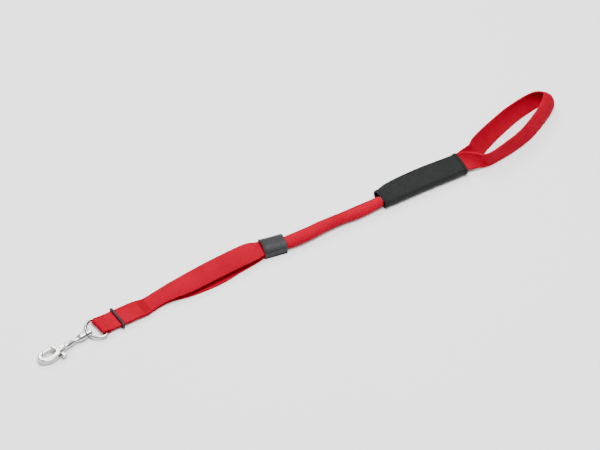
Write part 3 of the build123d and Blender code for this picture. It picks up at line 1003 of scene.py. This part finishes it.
@dataclass
class Bungee:
    """Ruched tubular sheath between the joint and the grip, laid on its route.

    The route is in millimetres. Widths and heights are parts of the diameter, at shares of the length.
    """

    route: tuple[Point, ...] = (
        (13.93, -4.49, 7.2),
        (36.0, -6.9, 7.2),
        (62.0, -4.6, 7.2),
        (90.0, -4.9, 7.2),
        (112.0, -7.9, 7.2),
        (130.0, -7.2, 7.2),
        (146.1, -5.9, 7.2),
    )
    diameter: float = 13.6 * MM
    length: float = 132.5 * MM
    ruche: float = 3.1 * MM
    rows_a_ruche: int = 7
    shares: tuple[float, ...] = (0, 0.08, 0.3, 0.6, 1)
    widths: tuple[float, ...] = (1.14, 1.24, 1.2, 1.0, 0.96)
    heights: tuple[float, ...] = (0.92, 0.95, 0.96, 0.96, 0.94)

    def line(self) -> np.ndarray:
        """Points along the route's own curve.

        Returns:
            One row for each point.
        """
        curve = bpy.data.curves.new("bungee_line", "CURVE")
        curve.dimensions = "3D"
        spline = curve.splines.new("NURBS")
        spline.points.add(len(self.route) - 1)
        for point, place in zip(spline.points, self.route):
            point.co = (*(Vector(place) * MM), 1.0)
        spline.order_u = 3
        spline.use_endpoint_u = True
        spline.resolution_u = 24
        guide = bpy.data.objects.new("bungee_guide", curve)
        bpy.context.scene.collection.objects.link(guide)
        bpy.context.view_layer.update()
        mesh = bpy.data.meshes.new_from_object(guide)
        points = np.array([vertex.co for vertex in mesh.vertices])
        bpy.data.objects.remove(guide)
        bpy.data.meshes.remove(mesh)
        return points if points[0, 0] < points[-1, 0] else points[::-1]

    def build(self, looks: Looks) -> None:
        """Make the sheath between the strap and the grip and hide the CAD sheath.

        Args:
            looks: The material of each finish.
        """
        points = self.line()
        run = np.concatenate([[0], np.cumsum(np.linalg.norm(np.diff(points, axis=0), axis=1))])
        share = run / run[-1]
        radius = self.diameter / 2
        wide = radius * np.interp(share, self.shares, self.widths)
        tall = radius * np.interp(share, self.shares, self.heights)
        stations = np.column_stack([points, wide, tall, np.full(len(points), 2.0)])
        rings = round(self.length / self.ruche)

        def swell(along: float, turn: float) -> float:
            """Growth of the sheath's skin at its ruches."""
            wave = math.sin(2 * math.pi * rings * along + 0.9 * math.sin(turn * 2 + along * 9))
            return 1.0 + 0.022 * wave + 0.012 * math.sin(turn * 5 + along * 31)

        sheath = Sleeve("bungee_tube", stations, rings * self.rows_a_ruche, swell).build()
        cap(sheath)
        smooth(sheath, 60)
        dress(sheath, looks[Finish.SHEATH])
        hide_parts("bungee_sheath")
        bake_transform(sheath)
        log.info("bungee_tube: %d faces, bends from strap to grip", len(sheath.data.polygons))


@dataclass
class Grip:
    """Padded sleeve over the hand loop's tails, with a binding at each end.

    Each station is x, y, half width and half height in millimetres. A band starts and ends at shares of
    the sleeve.
    """

    middle: float = 7.3
    stations: tuple[tuple[float, float, float, float], ...] = (
        (146.9, -3.2, 12.6, 6.5),
        (151, -3.0, 13.0, 6.5),
        (157, -2.2, 14.4, 6.7),
        (166, -1.4, 15.6, 6.9),
        (180, -0.9, 16.1, 7.0),
        (200, -1.0, 16.3, 7.05),
        (220, -1.6, 16.4, 7.05),
        (238, -2.6, 16.2, 7.0),
        (252, -3.2, 15.9, 6.9),
        (261.1, -3.5, 15.7, 6.7),
    )
    squareness: float = 2.9
    wall: float = 0.7 * MM
    slack: float = 0.3 * MM
    rows: int = 75
    band_wall: float = 0.45 * MM
    band_gap: float = 0.12 * MM
    band_rows: int = 10
    bands: tuple[tuple[str, float, float], ...] = (
        ("front_binding", 0.0, 0.11),
        ("rear_binding", 0.955, 1.0),
    )

    def tube(self, name: str, rows: int, start: float, end: float, grow: float) -> bpy.types.Object:
        """Lay a tube over part of the sleeve.

        Args:
            name: The piece's name.
            rows: Rings of faces.
            start: Where it starts, as a share of the sleeve.
            end: Where it ends.
            grow: How far its skin stands off the sleeve.

        Returns:
            The open skin.
        """
        table = np.array([(x, y, self.middle, wide, tall) for x, y, wide, tall in self.stations]) * MM
        table = np.column_stack([table, np.full(len(table), self.squareness)])
        table = curve_through(table, np.linspace(start, end, 24) * (len(table) - 1))
        table[:, 3:5] += grow

        def swell(along: float, turn: float) -> float:
            """Uneven padding under the skin."""
            bump = math.sin(along * 17 + 1.3) * math.sin(turn * 2 + 0.6 + along * 5)
            return 1.0 + 0.006 * bump + 0.004 * math.sin(along * 41 + turn * 3)

        return Sleeve(name, table, rows, swell).build()

    def build(self, looks: Looks) -> None:
        """Make the sleeve and its two bindings.

        Args:
            looks: The material of each finish.
        """
        sleeve = self.tube("grip_cover", self.rows, 0.0, 1.0, -self.slack)
        Puff().swell(sleeve)
        sleeve.modifiers.new("rounding", "SUBSURF").levels = 1
        apply_modifiers(sleeve)
        wall(sleeve, self.wall)
        smooth(sleeve, 50)
        dress(sleeve, looks[Finish.GRIP])
        place_part(sleeve, "grip", Finish.GRIP, "grip_sleeve")
        for name, start, end in self.bands:
            band = self.tube(name, self.band_rows, start, end, self.band_gap)
            wall(band, self.band_wall, False)
            smooth(band, 50)
            dress(band, looks[Finish.BINDING])
            stands_for = () if start else ("sleeve_bindings",)
            place_part(band, "grip", Finish.BINDING, *stands_for)


@dataclass
class HandLoop:
    """Loop of webbing standing on edge, whose legs turn flat on their way into the grip.

    Each station is the lower and the upper edge of the webbing, in millimetres. The edge is the line
    of its lower edge between the legs, and the bulge is its crown there.
    """

    near_leg: tuple[Edges, ...] = (
        ((163, -14.4, 8.9), (163, 11.0, 8.9)),
        ((200, -14.4, 8.9), (200, 11.0, 8.9)),
        ((240, -14.9, 8.9), (240, 10.5, 8.9)),
        ((255, -15.2, 8.7), (254, 10.2, 9.3)),
        ((264, -16.2, 7.6), (261, 8.8, 12.4)),
        ((275, -18.0, 4.4), (268, 1.4, 19.4)),
        ((287, -19.4, 1.4), (276, -9.2, 23.2)),
    )
    far_leg: tuple[Edges, ...] = (
        ((163, -14.4, 5.7), (163, 11.0, 5.7)),
        ((200, -14.4, 5.7), (200, 11.0, 5.7)),
        ((240, -14.9, 5.7), (240, 10.5, 5.7)),
        ((255, -14.6, 5.3), (254, 10.8, 5.9)),
        ((264, -13.4, 4.4), (261, 11.6, 8.0)),
        ((275, -11.0, 1.6), (269, 8.4, 16.6)),
        ((288, -3.6, 0.9), (277, 5.6, 23.0)),
    )
    edge: tuple[tuple[float, float], ...] = (
        (300, -18.4),
        (327, -15.0),
        (358, -6.9),
        (389.5, 8.9),
        (404.4, 19.2),
        (410.6, 27.0),
        (397.5, 32.2),
        (363, 26.6),
        (327, 14.6),
        (300, 3.0),
    )
    near_lean: Point = (-12.0, -1.5, 24.2)
    far_lean: Point = (-12.0, 10.0, 22.6)
    bulge: tuple[float, ...] = (0.0, 0.5, 1.2, 3.0, 4.6, 5.0, 3.2, 1.2, 0.5, 0.0)
    foot: float = 0.5
    ripple: float = 0.1 * MM

    def build(self, looks: Looks) -> None:
        """Lay the webbing round the loop.

        Args:
            looks: The material of each finish.
        """
        pairs = list(self.near_leg)
        for place, (x, y) in enumerate(self.edge):
            part = place / (len(self.edge) - 1)
            lean = Vector(self.near_lean).lerp(Vector(self.far_lean), part)
            pairs.append(((x, y, self.foot), tuple(Vector((x, y, self.foot)) + lean)))
        pairs += reversed(self.far_leg)
        low, high = (np.array(pairs) * MM).transpose(1, 0, 2)
        crown = np.pad(self.bulge, (len(self.near_leg), len(self.far_leg))) * MM
        band = Webbing(
            "hand_loop_band", low, high, crown, rows=420, columns=12, ripple=self.ripple
        ).build()
        dress(band, looks[Finish.WEBBING])
        place_part(band, "grip", Finish.WEBBING, "hand_loop")


def dress_frame(looks: Looks) -> None:
    """Give every CAD node that is still shown its record's finish.

    Args:
        looks: The material of each finish.
    """
    finishes = {
        "tail_stitches": Finish.THREAD,
        "joint_cover_base": Finish.MOULDING,
        "front_ferrule": Finish.CRIMP,
        "rear_ferrule": Finish.CRIMP,
        "bungee_core": Finish.CORE,
        "swivel_eye": Finish.NICKEL,
        "gate_pin": Finish.NICKEL,
        "gate_spring": Finish.SPRING,
        "swivel_rivet": Finish.CRIMP,
        "swivel_washer": Finish.CRIMP,
        "grip_padding": Finish.FOAM,
    }
    for node, finish in finishes.items():
        piece = frame["nodes"][node]
        if not piece.hide_render:
            dress(piece, looks[finish])
            smooth(piece, 30)
            log.info("%s keeps its shape and is dressed as %s", node, finish.value)


@dataclass
class Studio:
    """Pale floor, soft lights and a long-lens camera.

    The horizon and the zenith are each a height and a brightness of the sky. A light is its name, its
    place from the lead's middle, its size and its power.
    """

    azimuth: float = -31.0
    elevation: float = 48.0
    distance: float = 9.0
    span: float = 0.715
    sensor: float = 36.0
    glow: float = 1.3
    horizon: tuple[float, float] = (0.35, 0.05)
    zenith: tuple[float, float] = (0.85, 1.0)
    floor_size: float = 8.0
    floor_height: float = -0.2 * MM
    lights: tuple[tuple[str, Point, float, float], ...] = (
        ("key", (0.1, -0.25, 1.9), 1.0, 62.0),
        ("back", (0.3, 1.4, 1.3), 0.8, 22.0),
        ("side", (-1.5, 0.4, 0.8), 0.5, 8.0),
    )

    def sky(self) -> None:
        """Set up a studio sky that is bright overhead and dim near the horizon."""
        world = bpy.data.worlds.new("sky")
        world.use_nodes = True
        tree = world.node_tree
        way = tree.nodes.new("ShaderNodeTexCoord")
        parts = tree.nodes.new("ShaderNodeSeparateXYZ")
        ramp = tree.nodes.new("ShaderNodeValToRGB")
        tree.links.new(way.outputs["Generated"], parts.inputs[0])
        tree.links.new(parts.outputs["Z"], ramp.inputs[0])
        tree.links.new(ramp.outputs[0], tree.nodes["Background"].inputs[0])
        for stop, (height, brightness) in zip(ramp.color_ramp.elements, (self.horizon, self.zenith)):
            stop.position = height
            stop.color = (brightness, brightness, brightness, 1)
        tree.nodes["Background"].inputs[1].default_value = self.glow
        bpy.context.scene.world = world

    def build(self) -> None:
        """Set up the floor, the lights, the sky and the camera."""
        scene = bpy.context.scene
        low, high = CAD_BOX
        centre = (low + high) / 2
        bpy.ops.object.select_all(action="DESELECT")
        bpy.ops.mesh.primitive_plane_add(size=self.floor_size, location=(0, 0, self.floor_height))
        floor = bpy.context.object
        floor.name = "floor"
        settle(floor)
        board = Board("paper")
        grain = board.node("TexCoord").outputs["Object"]
        cloud = board.node("TexNoise", None, Vector=grain, Scale=3.0).outputs[0]
        paper = ((0.93, 0.93, 0.93, 1), (0.95, 0.95, 0.95, 1))
        board.finish(board.mix(board.spread(cloud, 0.3, 0.7, 0, 1), *paper), 0.9)
        dress(floor, board.material)
        floor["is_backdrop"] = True
        self.sky()
        for name, place, size, power in self.lights:
            lamp = bpy.data.lights.new(name, "AREA")
            lamp.size = size
            lamp.energy = power
            made = bpy.data.objects.new(name, lamp)
            scene.collection.objects.link(made)
            made.location = centre + Vector(place)
            made.rotation_euler = (-Vector(place)).to_track_quat("-Z", "Y").to_euler()
        around, above = math.radians(self.azimuth), math.radians(self.elevation)
        level = math.cos(above)
        back = Vector((math.sin(around) * level, -math.cos(around) * level, math.sin(above)))
        camera = bpy.data.cameras.new("camera")
        camera.sensor_width = self.sensor
        camera.lens = self.sensor * self.distance / self.span
        camera.clip_end = 50.0
        made = bpy.data.objects.new("camera", camera)
        scene.collection.objects.link(made)
        made.location = centre + back * self.distance
        made.rotation_euler = (-back).to_track_quat("-Z", "Y").to_euler()
        scene.camera = made


def main() -> None:
    """Build the lead from the snap to the hand loop."""
    logging.basicConfig(level=logging.INFO, format="%(message)s")
    looks = make_finishes()
    Studio().build()
    SnapHook().build(looks)
    ControlStrap().build(looks)
    MouldedJoint().build(looks)
    Bungee().build(looks)
    Grip().build(looks)
    HandLoop().build(looks)
    dress_frame(looks)
    size = [[list(corner) for corner in box] for box in (CAD_BOX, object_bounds())]
    log.info("shown size %s", size[1])


if __name__ == "__main__":
    main()
